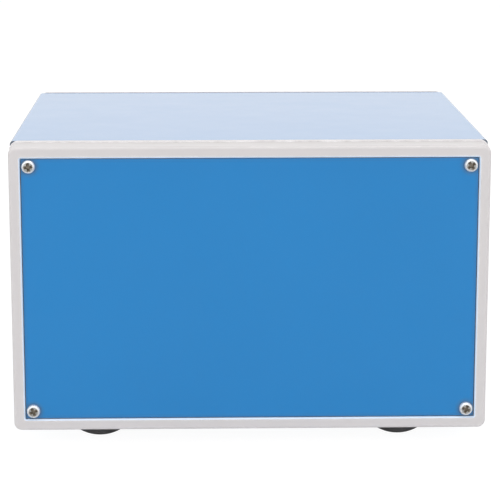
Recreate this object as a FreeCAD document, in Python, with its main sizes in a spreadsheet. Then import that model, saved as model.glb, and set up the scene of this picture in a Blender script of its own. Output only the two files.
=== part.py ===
"""Two-channel passive direct injection box, built into a bench instrument case.

The case is a folded steel tray and cover held between two moulded frames. The front frame carries a
blank panel. The rear frame carries the panel with the jacks, the XLR outputs and the toggle switches,
wired to a board with one transformer for each channel. Millimetres, +Z up, feet on Z = 0, front to -Y.
"""

import FreeCAD, Part

import os
import re

import Sketcher
from FreeCAD import Placement, Rotation, Vector

# ---------------------------------------------------------------- driving dimensions
SIZES = (
    # case
    ("case_width", 200.0, "frames' faces, outside"),
    ("case_depth", 180.0, "front frame's face to rear frame's face"),
    ("case_height", 121.3, "frames' faces, outside"),
    ("frame_face", 4.8, "width of a frame's face around its panel"),
    ("front_frame_depth", 14.5, "front frame, face to shoulder"),
    ("rear_frame_depth", 5.0, "rear frame, face to shoulder"),
    ("frame_corner", 3.2, "outside corner radius of a frame"),
    ("frame_edge", 1.2, "rounding of a frame's face edge"),
    ("lip_height", 0.6, "lip round a frame's shoulder, above its sides"),
    ("lip_width", 2.5, "lip, from front to back"),
    ("lip_edge", 0.35, "rounding of the lip's edges"),
    ("opening_corner", 0.5, "corner radius of a frame's opening"),
    ("opening_edge", 0.5, "chamfer round a frame's opening"),
    ("ledge_thickness", 2.4, "ledge behind a panel"),
    ("ledge_width", 3.0, "how far the ledge reaches in behind the panel"),
    ("spigot_length", 6.5, "spigot that the sheet metal slides over"),
    ("spigot_wall", 2.0, "wall of the spigot"),
    ("spigot_corner", 3.0, "outside corner radius of the spigot"),
    ("sheet", 1.0, "steel sheet of tray and cover"),
    ("bend_inside", 0.5, "inside radius of the folds"),
    ("cover_inset", 0.2, "cover's face below the lips of the frames"),
    ("slip_gap", 0.15, "sliding clearance between cover, tray and spigots"),
    ("butt_gap", 0.2, "sheet edge to the frame's shoulder"),
    ("flange_height", 42.0, "height of the tray's side flanges"),
    # panels
    ("panel_thickness", 1.5, "both panels"),
    ("panel_recess", 0.9, "panel's face below the frame's face"),
    ("panel_gap", 0.3, "panel's edge to the frame's opening"),
    ("panel_corner", 0.5, "corner radius of the panels"),
    ("panel_screw_inset", 3.5, "screw centre from the opening's edges"),
    ("boss_radius", 4.2, "screw boss behind a panel's corner"),
    ("boss_length", 9.0, "screw boss, from the panel's back"),
    # screws and nuts
    ("screw_radius", 1.5, "M3 shank"),
    ("head_radius", 2.8, "pan head"),
    ("head_height", 1.9, "pan head"),
    ("head_edge", 1.1, "rounding of the pan head"),
    ("recess_span", 3.5, "cross recess, tip to tip"),
    ("recess_slot", 0.95, "cross recess, slot width"),
    ("recess_depth", 1.2, "cross recess"),
    ("clear_hole", 1.7, "radius of a clearance hole for M3"),
    ("thread_hole", 1.55, "radius of a threaded hole for M3, thread left out"),
    ("nut_flats", 5.5, "M3 nut across flats"),
    ("nut_height", 2.4, "M3 nut"),
    ("clinch_radius", 3.4, "round clinch nut for M3"),
    ("panel_screw_length", 10.0, "panel screws"),
    ("short_screw_length", 5.0, "cover and board screws"),
    ("frame_screw_length", 8.0, "screws up into the frames' lugs"),
    ("foot_screw_length", 9.5, "screws through the feet"),
    ("xlr_screw_length", 7.0, "screws through the XLR flanges"),
    ("cover_screw_height", 20.0, "cover screws above the case's bottom"),
    ("cover_screw_setback", 35.0, "cover screws from the case's front and rear faces"),
    ("lug_spread", 45.0, "frame lugs from the middle, across the width"),
    ("lug_size", 6.5, "frame lug, square"),
    # feet
    ("foot_height", 8.5, "floor to the frames' underside"),
    ("foot_radius", 9.7, "foot's skirt"),
    ("foot_dome", 18.0, "radius of the foot's domed underside"),
    ("foot_patch", 5.5, "radius of the flat that stands on the floor"),
    ("foot_recess", 3.7, "radius of the recess for the screw head"),
    ("foot_recess_depth", 4.0, "depth of that recess"),
    ("foot_side_inset", 35.2, "foot centre from the case's side"),
    ("foot_end_inset", 27.0, "foot centre from the case's front and rear faces"),
    # layout of the rear panel, seen from behind
    ("channel_pitch", 92.0, "channel centre to channel centre"),
    ("input_offset", 27.0, "input jack, left of the channel's centre"),
    ("link_offset", 3.0, "link jack, left of the channel's centre"),
    ("pad_offset", 15.0, "pad switch, left of the channel's centre"),
    ("output_offset", 23.0, "XLR and lift switch, right of the channel's centre"),
    ("socket_row", 41.0, "jacks and XLRs above the case's bottom"),
    ("switch_row", 78.0, "switches above the case's bottom"),
    # jacks
    ("jack_bore", 3.2, "radius of the plug's way in"),
    ("bushing_radius", 4.7, "jack's threaded bushing"),
    ("bushing_proud", 5.0, "bushing in front of the panel"),
    ("shoulder_radius", 6.4, "bushing's shoulder behind the panel"),
    ("shoulder_thickness", 3.0, "bushing's shoulder"),
    ("panel_fit", 0.15, "radial clearance of a part in its panel hole"),
    ("seat_fit", 0.05, "radial clearance of a pressed or moulded-in part"),
    ("jack_width", 16.0, "jack's body"),
    ("jack_height", 20.0, "jack's body"),
    ("jack_depth", 25.0, "jack's body"),
    ("jack_end_wall", 3.0, "closed end of the jack's body"),
    ("jack_cavity", 3.6, "radius of the plug's space in the body"),
    ("jack_corner", 0.9, "jack's body, corner radius"),
    ("jack_nut_flats", 12.7, "jack nut across flats"),
    ("jack_nut_height", 2.4, "jack nut"),
    ("jack_washer_radius", 7.2, "jack washer"),
    ("washer_thickness", 0.6, "jack washer"),
    ("contact_clearance", 0.15, "contact strip beside the plug"),
    ("contact_thickness", 0.5, "jack contact strip"),
    ("contact_width", 3.0, "jack contact strip"),
    ("contact_length", 17.0, "contact strip inside the body"),
    ("contact_lug", 5.0, "contact strip behind the body"),
    # XLR outputs
    ("xlr_flange_side", 1.4, "XLR flange beyond its barrel, across"),
    ("xlr_flange_end", 3.9, "XLR flange beyond its barrel, up and down"),
    ("xlr_flange_thickness", 2.0, "XLR flange"),
    ("xlr_flange_corner", 4.0, "XLR flange's corner radius"),
    ("xlr_rim_radius", 11.3, "raised rim round the socket"),
    ("xlr_rim_proud", 1.2, "raised rim above the flange"),
    ("xlr_barrel_radius", 11.6, "XLR barrel behind the panel"),
    ("xlr_barrel_length", 18.0, "XLR barrel behind the panel's face"),
    ("xlr_bore", 9.6, "radius of the XLR socket"),
    ("xlr_insert_thickness", 6.0, "insulator at the socket's bottom"),
    ("xlr_screw_inset", 3.5, "XLR screws from the flange's edges"),
    ("pin_radius", 1.2, "XLR pin"),
    ("pin_tip", 1.0, "pin tip below the panel's face"),
    ("pin_tail", 6.0, "pin behind the barrel"),
    ("pin_side", 3.7, "pins 1 and 2 from the centre, across"),
    ("pin_up", 1.5, "pins 1 and 2 above the centre"),
    ("pin_down", 3.7, "pin 3 below the centre"),
    ("latch_width", 4.4, "latch notch in the socket's wall"),
    ("latch_depth", 1.0, "latch notch in the socket's wall"),
    # toggle switches
    ("switch_width", 8.0, "switch body"),
    ("switch_height", 13.2, "switch body"),
    ("switch_depth", 10.0, "switch body"),
    ("switch_corner", 0.6, "switch body, corner radius"),
    ("switch_bushing", 3.0, "radius of the switch's threaded bushing"),
    ("switch_bushing_proud", 6.5, "bushing in front of the panel"),
    ("switch_bore", 2.35, "radius of the bushing's bore"),
    ("switch_nut_flats", 8.0, "switch nut across flats"),
    ("switch_nut_height", 2.0, "switch nut"),
    ("switch_washer_radius", 5.2, "lock washer behind the panel"),
    ("switch_washer_thickness", 0.8, "lock washer behind the panel"),
    ("pivot_proud", 3.0, "lever's pivot in front of the panel"),
    ("ball_radius", 2.2, "lever's pivot ball"),
    ("lever_root", 1.05, "lever's radius at the ball"),
    ("lever_tip", 1.6, "lever's radius at its rounded tip"),
    ("lever_length", 13.5, "pivot to the end of the tip"),
    ("lever_tail", 4.6, "pivot to the end of the tail"),
    ("tail_radius", 0.9, "lever's tail inside the bushing"),
    ("throw_angle", 12.5, "lever's tilt each side of straight, degrees"),
    ("terminal_pitch", 4.7, "switch terminals"),
    ("terminal_width", 2.0, "switch terminal"),
    ("terminal_thickness", 0.8, "switch terminal"),
    ("terminal_length", 4.5, "switch terminal"),
    # circuit board
    ("board_width", 180.0, "circuit board"),
    ("board_depth", 86.0, "circuit board"),
    ("board_thickness", 1.6, "circuit board"),
    ("board_setback", 78.0, "board's middle, in front of the case's rear face"),
    ("board_hole_inset", 5.0, "board screws from its edges"),
    ("standoff_height", 10.0, "standoffs under the board"),
    ("can_width", 32.0, "transformer can"),
    ("can_depth", 30.0, "transformer can"),
    ("can_height", 34.0, "transformer can"),
    ("can_wall", 1.0, "transformer can"),
    ("can_corner", 3.0, "transformer can's corner radius"),
    ("can_setback", 10.0, "transformer's centre, in front of the board's middle"),
    ("core_gap", 0.6, "core to the inside of the can"),
    ("core_thickness", 13.0, "lamination stack"),
    ("core_limb", 4.5, "outer limbs and yokes of the core"),
    ("core_middle_limb", 9.0, "middle limb of the core"),
    ("core_base", 5.0, "bobbin's foot under the core"),
    ("core_height", 24.0, "core"),
    ("winding_gap", 0.25, "winding to the core"),
    ("winding_depth", 24.0, "winding, front to back"),
    ("resistor_radius", 1.2, "resistor body"),
    ("resistor_length", 6.5, "resistor body"),
    ("resistor_pitch", 5.0, "resistor to resistor"),
    ("lead_radius", 0.3, "resistor lead"),
    ("lead_bend", 0.6, "bend radius of a resistor's lead"),
    ("lead_overhang", 1.5, "lead beyond the resistor's end"),
    ("capacitor_length", 7.5, "film capacitor"),
    ("capacitor_width", 3.5, "film capacitor"),
    ("capacitor_height", 8.0, "film capacitor"),
    ("capacitor_corner", 0.5, "film capacitor, corner radius"),
    ("capacitor_offset", 10.0, "film capacitors from the channel's centre"),
    ("parts_setback", 67.0, "resistors and capacitors, in front of the rear face"),
    # wires
    ("wire_radius", 0.8, "hook-up wire over its sleeve"),
    ("wire_bend", 4.0, "bend radius at a wire's centre"),
    ("plug_height", 8.0, "wire plug on the board"),
    ("plug_margin", 2.4, "plug's side beyond its outer wires"),
    ("socket_plug_setback", 40.0, "plugs of jacks and XLRs, in front of the rear face"),
    ("switch_plug_setback", 51.0, "first wire of the switches, in front of the rear face"),
    # chassis ground
    ("ground_side", 0.0, "ground tag, from the middle"),
    ("ground_setback", 24.0, "ground tag, in front of the rear face"),
    ("tag_radius", 3.5, "ring of the ground tag"),
    ("tag_thickness", 0.8, "ground tag"),
    ("tag_length", 9.0, "ring centre to the tag's barrel"),
    ("tag_width", 3.0, "ground tag's tail"),
)
NAMES = {name for name, _, _ in SIZES}

doc = FreeCAD.newDocument("DirectBox")
sheet = doc.addObject("Spreadsheet::Sheet", "Sizes")
for row, (name, size, note) in enumerate(SIZES, 1):
    sheet.set(f"A{row}", name)
    sheet.set(f"B{row}", str(size))
    sheet.set(f"C{row}", note)
    sheet.setAlias(f"B{row}", name)
doc.recompute()

nodes = []


# ---------------------------------------------------------------- sizes and places
def expr(text):
    """A size written with the sheet's aliases, as the document's expression."""
    return re.sub(r"[a-z][a-z_]*", lambda m: f"Sizes.{m[0]}" if m[0] in NAMES else m[0], text)


def value(text):
    """That size as a number."""
    found = sheet.evalExpression(expr(text))
    return float(getattr(found, "Value", found))


def point(x, y, z="0"):
    return Vector(value(x), value(y), value(z))


def place(obj, x="0", y="0", z="0", turn=Rotation()):
    """Puts obj where the three sizes say, turned, and keeps it bound to them."""
    obj.Placement = Placement(point(x, y, z), turn)
    for axis, size in zip("xyz", (x, y, z)):
        obj.setExpression(f"Placement.Base.{axis}", expr(size))
    return obj


HEAD_PROUD = "(head_height - panel_recess)"
LEVER_PROUD = "(pivot_proud - panel_recess + (lever_length - lever_tip) * cos(throw_angle) + lever_tip)"
# The origin is under the middle of everything, levers and screw heads included.
SHIFT = f"({HEAD_PROUD} - {LEVER_PROUD}) / 2"

# A face frame looks outwards from the case: x to the right, y up, z out of the face.
LOOK_FRONT = Rotation(Vector(1, 0, 0), 90)
LOOK_REAR = Rotation(Vector(0, 1, 1), 180)
CASE = ("0", SHIFT, "foot_height", Rotation())
FRONT_FACE = ("0", f"-case_depth / 2 + {SHIFT}", "foot_height", LOOK_FRONT)
REAR_FACE = ("0", f"case_depth / 2 + {SHIFT}", "foot_height", LOOK_REAR)
FRONT_PANEL = ("0", f"-case_depth / 2 + panel_recess + {SHIFT}", "foot_height", LOOK_FRONT)
REAR_PANEL = ("0", f"case_depth / 2 - panel_recess + {SHIFT}", "foot_height", LOOK_REAR)

MIDDLE = "case_height / 2"
BOARD_MIDDLE = "(case_depth / 2 - board_setback)"
PARTS_ROW = "(case_depth / 2 - parts_setback)"
SOCKET_PLUGS = "(case_depth / 2 - socket_plug_setback)"
SWITCH_PLUGS = "(case_depth / 2 - switch_plug_setback)"
COVER_HALF = "(case_width / 2 + lip_height - cover_inset)"
COVER_TOP = "(case_height + lip_height - cover_inset)"
UNDERSIDE = "(cover_inset - lip_height)"
TRAY_HALF = f"({COVER_HALF} - sheet - slip_gap)"
FLOOR = f"({UNDERSIDE} + sheet)"
SHELL_FRONT = "(-case_depth / 2 + front_frame_depth + butt_gap)"
SHELL_LENGTH = "(case_depth - front_frame_depth - rear_frame_depth - 2 * butt_gap)"
BOARD_BOTTOM = f"({FLOOR} + standoff_height)"
BOARD_TOP = f"({BOARD_BOTTOM} + board_thickness)"


def node(label, obj, frame=CASE):
    """obj is a finished piece: it takes its name and its place in the object's frame."""
    obj.Label = label
    place(obj, *frame)
    nodes.append(obj)
    return obj


# ---------------------------------------------------------------- primitives and booleans
FORWARDS = Rotation(Vector(1, 0, 0), 90)
OVER_AND_DOWN = Rotation(Vector(1, 0, 1), 180)
UP_AND_OVER = Rotation(Vector(1, 1, 1), 120)


def primitive(kind, spot, **sizes):
    obj = doc.addObject(f"Part::{kind}", kind)
    for name, size in sizes.items():
        obj.setExpression(name, expr(size))
    return place(obj, *spot)


def box(x, y, z, across, along, up):
    """A box centred on x and y, standing on z."""
    spot = (f"{x} - ({across}) / 2", f"{y} - ({along}) / 2", z)
    return primitive("Box", spot, Length=across, Width=along, Height=up)


def rod(x, y, z, radius, length, turn=Rotation()):
    return primitive("Cylinder", (x, y, z, turn), Radius=radius, Height=length)


def bend(x, y, z, turn, bend_radius="wire_bend", radius="wire_radius"):
    """A quarter turn of wire round x, y, z."""
    return primitive("Torus", (x, y, z, turn), Radius1=bend_radius, Radius2=radius, Angle3="90")


def hexagon(x, y, z, flats, height):
    """A hexagonal bar on z, its corners just turned off."""
    bar = primitive("Prism", (x, y, z), Circumradius=f"{flats} / sqrt(3)", Height=height)
    return common(bar, rod(x, y, z, f"{flats} * 0.56", height))


def combine(kind, parts):
    obj = doc.addObject(f"Part::{kind}", kind)
    obj.Shapes = list(parts)
    return obj


def fuse(*parts):
    return combine("MultiFuse", parts)


def common(*parts):
    return combine("MultiCommon", parts)


def cut(base, *tools):
    obj = doc.addObject("Part::Cut", "Cut")
    obj.Base = base
    obj.Tool = tools[0] if len(tools) == 1 else fuse(*tools)
    return obj


def together(parts):
    """Separate solids that make one node."""
    obj = doc.addObject("Part::Compound", "Group")
    obj.Links = list(parts)
    return obj


def copies(master, spots):
    """One copy of master at each spot: x, y, z and an optional turn."""
    links = []
    for spot in spots:
        link = doc.addObject("App::Link", "Copy")
        link.LinkedObject = master
        links.append(place(link, *spot))
    return together(links)


# ---------------------------------------------------------------- bodies and sketches
def body(name):
    return doc.addObject("PartDesign::Body", name)


def sketch(owner, z="0", role="XY_Plane"):
    """A sketch on one of the body's own planes, moved z along the plane's normal."""
    obj = owner.newObject("Sketcher::SketchObject", "Sketch")
    plane = next(f for f in owner.Origin.OriginFeatures if f.Role == role)
    obj.AttachmentSupport = (plane, [""])
    obj.MapMode = "FlatFace"
    obj.setExpression("AttachmentOffset.Base.z", expr(z))
    return obj


def constrain(target, kind, *where, size):
    number = target.addConstraint(Sketcher.Constraint(kind, *where, value(size)))
    target.setExpression(f"Constraints[{number}]", expr(size))


def outline(target, points):
    """A closed outline through points, each pinned to the sheet."""
    first = target.GeometryCount
    corners = [point(x, y) for x, y in points]
    for here, there in zip(corners, corners[1:] + corners[:1]):
        target.addGeometry(Part.LineSegment(here, there))
    for n, (x, y) in enumerate(points):
        following = first + (n + 1) % len(points)
        target.addConstraint(Sketcher.Constraint("Coincident", first + n, 2, following, 1))
        constrain(target, "DistanceX", -1, 1, first + n, 1, size=x)
        constrain(target, "DistanceY", -1, 1, first + n, 1, size=y)
    return target


def rectangle(target, x, y, width, height):
    """A rectangle centred on x, y."""
    left, right = (f"{x} {sign} ({width}) / 2" for sign in "-+")
    low, high = (f"{y} {sign} ({height}) / 2" for sign in "-+")
    return outline(target, ((left, low), (right, low), (right, high), (left, high)))


def circles(target, radius, spots):
    for x, y in spots:
        number = target.addGeometry(Part.Circle(point(x, y), Vector(0, 0, 1), value(radius)))
        constrain(target, "DistanceX", -1, 1, number, 3, size=x)
        constrain(target, "DistanceY", -1, 1, number, 3, size=y)
        constrain(target, "Radius", number, size=radius)
    return target


def pad(owner, profile, length, away=False):
    """Adds the profile's extrusion: behind the sketch, or in front of it where away is true."""
    feature = owner.newObject("PartDesign::Pad", "Pad")
    feature.Profile = profile
    feature.setExpression("Length", expr(length))
    feature.Reversed = not away
    doc.recompute()
    return feature


def pocket(owner, profile, depth):
    """Cuts the profile behind its sketch."""
    before = owner.Shape.Volume
    feature = owner.newObject("PartDesign::Pocket", "Pocket")
    feature.Profile = profile
    feature.setExpression("Length", expr(depth))
    doc.recompute()
    if not owner.Shape.Volume < before:
        raise RuntimeError(f"{owner.Name}: a pocket cut nothing")
    return feature


def blend(owner, kind, size, test):
    """Fillets or chamfers the edges of the body's tip that pass the test."""
    tip = owner.Tip
    feature = owner.newObject(f"PartDesign::{kind}", kind)
    names = [f"Edge{n + 1}" for n, edge in enumerate(tip.Shape.Edges) if test(edge)]
    feature.Base = (tip, names)
    feature.setExpression("Radius" if kind == "Fillet" else "Size", expr(size))
    doc.recompute()
    return feature


def revolve(name, points):
    """A body turned about its Z axis from points of radius and height."""
    turned = body(name)
    profile = outline(sketch(turned, role="XZ_Plane"), points)
    feature = turned.newObject("PartDesign::Revolution", "Revolution")
    feature.Profile = profile
    feature.ReferenceAxis = (profile, ["V_Axis"])
    feature.Angle = 360
    doc.recompute()
    return turned


def slab(x, y, z, across, deep, up, corner):
    """A plate or block centred on x and y, standing on z, its upright edges rounded."""
    block = body("Block")
    pad(block, rectangle(sketch(block, z), x, y, across, deep), up, away=True)
    blend(block, "Fillet", corner, along(Z))
    return block


def near(a, b):
    return abs(a - b) < 1e-4


def along(axis):
    """A test for straight edges that run along that axis."""

    def test(edge):
        low, high = (v.Point for v in (edge.Vertexes[0], edge.Vertexes[-1]))
        return edge.Curve.TypeId == "Part::GeomLine" and near(abs((high - low) * axis), edge.Length)

    return test


def at_height(z):
    """A test for edges that lie wholly at that height."""
    level = value(z)
    return lambda edge: near(edge.BoundBox.ZMin, level) and near(edge.BoundBox.ZMax, level)


X, Y, Z = Vector(1, 0, 0), Vector(0, 1, 0), Vector(0, 0, 1)


# ---------------------------------------------------------------- where things go on the rear panel
PANEL_BACK = "(-panel_thickness)"
SWITCH_FACE = "(-panel_thickness - switch_washer_thickness)"
CONTACT_SIDE = "(jack_bore + contact_clearance)"
CHANNELS = (("1", "(-channel_pitch / 2)"), ("2", "(channel_pitch / 2)"))
JACKS = [
    (f"{kind}_jack_{number}", f"({centre} - {kind}_offset)")
    for number, centre in CHANNELS
    for kind in ("input", "link")
]
JACK_SPOTS = [(x, "socket_row", "0") for _, x in JACKS]
XLR_SPOTS = [(f"({centre} + output_offset)", "socket_row", "0") for _, centre in CHANNELS]
XLR_HALF_WIDTH = "(xlr_barrel_radius + xlr_flange_side)"
XLR_HALF_HEIGHT = "(xlr_barrel_radius + xlr_flange_end)"
XLR_SCREW_ACROSS = f"({XLR_HALF_WIDTH} - xlr_screw_inset)"
XLR_SCREW_UP = f"({XLR_HALF_HEIGHT} - xlr_screw_inset)"
XLR_SCREW_SPOTS = [
    (f"{x} + {side} * {XLR_SCREW_ACROSS}", f"{y} - {side} * {XLR_SCREW_UP}", "xlr_flange_thickness")
    for x, y, _ in XLR_SPOTS
    for side in (-1, 1)
]
PINS = (("-pin_side", "pin_up"), ("pin_side", "pin_up"), ("0", "-pin_down"))
SWITCHES = [
    (kind, number, f"({centre} {offset})")
    for number, centre in CHANNELS
    for kind, offset in (("pad", "- pad_offset"), ("lift", "+ output_offset"))
]
SWITCH_SPOTS = [(x, "switch_row", "0") for _, _, x in SWITCHES]

# ---------------------------------------------------------------- frames and panels
OPENING_WIDTH = "(case_width - 2 * frame_face)"
OPENING_HEIGHT = "(case_height - 2 * frame_face)"
SPIGOT_WIDTH = f"(2 * ({TRAY_HALF} - sheet - slip_gap))"
SPIGOT_HEIGHT = f"(case_height - 2 * ({FLOOR} + slip_gap))"
PANEL_SCREWS = [
    (f"{side} * ({OPENING_WIDTH} / 2 - panel_screw_inset)",
     f"{MIDDLE} + {level} * ({OPENING_HEIGHT} / 2 - panel_screw_inset)")
    for side in (-1, 1)
    for level in (-1, 1)
]


def frame_ring(owner, depth):
    """The frame's block: a rounded face, the lip round its shoulder, and the spigot behind it."""
    upright, lip_front = along(Z), f"lip_width - ({depth})"
    pad(owner, rectangle(sketch(owner), "0", MIDDLE, "case_width", "case_height"), depth)
    blend(owner, "Fillet", "frame_corner", upright)
    blend(owner, "Fillet", "frame_edge", at_height("0"))
    lip_size = (f"{size} + 2 * lip_height" for size in ("case_width", "case_height"))
    pad(owner, rectangle(sketch(owner, lip_front), "0", MIDDLE, *lip_size), "lip_width")
    half, top = value("case_width / 2") + 0.01, value("case_height") + 0.01

    def outside(edge):
        reach = edge.BoundBox
        return reach.XMax > half or reach.XMin < -half or reach.YMax > top or reach.YMin < -0.01

    blend(owner, "Fillet", "frame_corner + lip_height", lambda edge: upright(edge) and outside(edge))
    for level in (at_height(lip_front), at_height(f"-({depth})")):
        blend(owner, "Fillet", "lip_edge", lambda edge, level=level: level(edge) and outside(edge))
    shoulder = sketch(owner, f"-({depth})")
    pad(owner, rectangle(shoulder, "0", MIDDLE, SPIGOT_WIDTH, SPIGOT_HEIGHT), "spigot_length")
    back = value(f"-({depth})")
    blend(owner, "Fillet", "spigot_corner",
          lambda edge: upright(edge) and edge.CenterOfMass.z < back)


def moulded_frame(label, depth, place_in):
    """A moulded frame: face opening, ledge for the panel, hollow back, bosses and screw lugs."""
    frame = body(label)
    frame_ring(frame, depth)
    total = f"({depth} + spigot_length)"
    seat = "(panel_recess + panel_thickness)"
    ledge_back = f"({seat} + ledge_thickness)"
    window = rectangle(sketch(frame), "0", MIDDLE, OPENING_WIDTH, OPENING_HEIGHT)
    pocket(frame, window, seat)
    upright = along(Z)
    reach = value(f"{OPENING_WIDTH} / 2")
    blend(frame, "Fillet", "opening_corner",
          lambda edge: upright(edge) and near(abs(edge.CenterOfMass.x), reach))
    through = rectangle(
        sketch(frame, f"-{seat}"),
        "0",
        MIDDLE,
        f"{OPENING_WIDTH} - 2 * ledge_width",
        f"{OPENING_HEIGHT} - 2 * ledge_width",
    )
    pocket(frame, through, total)
    hollow = rectangle(
        sketch(frame, f"-{ledge_back}"),
        "0",
        MIDDLE,
        f"{SPIGOT_WIDTH} - 2 * spigot_wall",
        f"{SPIGOT_HEIGHT} - 2 * spigot_wall",
    )
    pocket(frame, hollow, total)
    pad(frame, circles(sketch(frame, f"-{seat}"), "boss_radius", PANEL_SCREWS), "boss_length")
    pocket(frame, circles(sketch(frame, f"-{seat}"), "thread_hole", PANEL_SCREWS), "boss_length")
    lug_middle = f"{FLOOR} + slip_gap + spigot_wall / 2 + lug_size / 2"
    for side in (-1, 1):
        lug = sketch(frame, f"lug_size - {total}")
        pad(frame, rectangle(lug, f"{side} * lug_spread", lug_middle, "lug_size", "lug_size"), "lug_size")
    holes = sketch(frame, f"-{FLOOR}", role="XZ_Plane")
    circles(holes, "thread_hole", [(f"{side} * lug_spread", f"lug_size / 2 - {total}") for side in (-1, 1)])
    pocket(frame, holes, "lug_size + spigot_wall")
    face, half_width, half_height = at_height("0"), reach + 0.01, value(f"{OPENING_HEIGHT} / 2") + 0.01
    middle = value(MIDDLE)
    blend(frame, "Chamfer", "opening_edge",
          lambda edge: face(edge)
          and abs(edge.BoundBox.Center.x) < half_width
          and abs(edge.BoundBox.Center.y - middle) < half_height)
    node(label, frame, place_in)


def blank_panel(label):
    """A sheet panel that drops into a frame's opening, with a screw hole in each corner."""
    plate = body(label)
    width, height = (f"{size} - 2 * panel_gap" for size in (OPENING_WIDTH, OPENING_HEIGHT))
    pad(plate, rectangle(sketch(plate), "0", MIDDLE, width, height), "panel_thickness")
    blend(plate, "Fillet", "panel_corner", along(Z))
    pocket(plate, circles(sketch(plate), "clear_hole", PANEL_SCREWS), "panel_thickness")
    return plate


def rear_panel():
    """The panel with a hole for each jack, XLR barrel and screw, and switch."""
    plate = blank_panel("rear_panel")
    cuts = (
        ("bushing_radius + panel_fit", JACK_SPOTS),
        ("xlr_barrel_radius + panel_fit", XLR_SPOTS),
        ("clear_hole", XLR_SCREW_SPOTS),
        ("switch_bushing + panel_fit", SWITCH_SPOTS),
    )
    for radius, spots in cuts:
        pocket(plate, circles(sketch(plate), radius, [spot[:2] for spot in spots]), "panel_thickness")
    node("rear_panel", plate, REAR_PANEL)


# ---------------------------------------------------------------- tray and cover
def folded_sheet(label, half, low, high, upside_down):
    """A U folded from sheet, open upwards or, where upside_down, downwards."""
    shell = body(label)
    inside = f"({half} - sheet)"
    flat, inner, ends = (high, f"{high} - sheet", low) if upside_down else (low, f"{low} + sheet", high)
    points = (
        (f"-{half}", flat),
        (half, flat),
        (half, ends),
        (inside, ends),
        (inside, inner),
        (f"-{inside}", inner),
        (f"-{inside}", ends),
        (f"-{half}", ends),
    )
    profile = outline(sketch(shell, f"-{SHELL_FRONT}", role="XZ_Plane"), points)
    pad(shell, profile, SHELL_LENGTH)
    outer_level, inner_level = value(flat), value(inner)
    folds = along(Y)
    blend(shell, "Fillet", "bend_inside + sheet",
          lambda edge: folds(edge) and near(edge.CenterOfMass.z, outer_level))
    blend(shell, "Fillet", "bend_inside",
          lambda edge: folds(edge) and near(edge.CenterOfMass.z, inner_level))
    return shell


def side_holes(shell):
    """The cover screws' holes, through both sides of a folded sheet."""
    holes = sketch(shell, COVER_HALF, role="YZ_Plane")
    spots = [(f"{end} * (case_depth / 2 - cover_screw_setback)", "cover_screw_height") for end in (-1, 1)]
    pocket(shell, circles(holes, "clear_hole", spots), f"2 * {COVER_HALF}")


FOOT_SPOTS = [
    (f"{side} * (case_width / 2 - foot_side_inset)", f"{end} * (case_depth / 2 - foot_end_inset)")
    for end in (-1, 1)
    for side in (-1, 1)
]
BOARD_SPOTS = [
    (f"{side} * (board_width / 2 - board_hole_inset)",
     f"{BOARD_MIDDLE} + {end} * (board_depth / 2 - board_hole_inset)")
    for end in (-1, 1)
    for side in (-1, 1)
]
LUG_SPOTS = [
    (f"{side} * lug_spread", spot)
    for spot in (
        "-case_depth / 2 + front_frame_depth + spigot_length - lug_size / 2",
        "case_depth / 2 - rear_frame_depth - spigot_length + lug_size / 2",
    )
    for side in (-1, 1)
]
GROUND_SPOT = ("ground_side", "(case_depth / 2 - ground_setback)")


def tray():
    shell = folded_sheet("lower_tray", TRAY_HALF, UNDERSIDE, "flange_height", False)
    side_holes(shell)
    spots = FOOT_SPOTS + BOARD_SPOTS + LUG_SPOTS + [GROUND_SPOT]
    pocket(shell, circles(sketch(shell, FLOOR), "clear_hole", spots), "2 * sheet")
    node("lower_tray", shell)


def cover():
    shell = folded_sheet("upper_cover", COVER_HALF, UNDERSIDE, COVER_TOP, True)
    side_holes(shell)
    node("upper_cover", shell)


# ---------------------------------------------------------------- screws, nuts and feet
def pan_screw(name, length):
    """A pan-head screw about Z: head above z = 0, shank below, cross recess in the head."""
    screw = revolve(
        name,
        (
            ("0", "head_height"),
            ("head_radius", "head_height"),
            ("head_radius", "0"),
            ("screw_radius", "0"),
            ("screw_radius", f"-{length}"),
            ("0", f"-{length}"),
        ),
    )
    blend(screw, "Fillet", "head_edge", at_height("head_height"))
    a, b = "recess_span / 2", "recess_slot / 2"
    cross = (
        (a, b), (b, b), (b, a), (f"-{b}", a), (f"-{b}", b), (f"-{a}", b),
        (f"-{a}", f"-{b}"), (f"-{b}", f"-{b}"), (f"-{b}", f"-{a}"),
        (b, f"-{a}"), (b, f"-{b}"), (a, f"-{b}"),
    )
    pocket(screw, outline(sketch(screw, "head_height"), cross), "recess_depth")
    return screw


def nut(x, y, z, flats, height, hole):
    return cut(hexagon(x, y, z, flats, height), rod(x, y, z, hole, height))


def side_spots(half):
    """The cover screws' places at half the given width, looking outwards."""
    reach = "(case_depth / 2 - cover_screw_setback)"
    return [
        (f"{side} * {half}", f"{end} * {reach}", "cover_screw_height", Rotation(Y, 90 * side))
        for side in (-1, 1)
        for end in (-1, 1)
    ]


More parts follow.
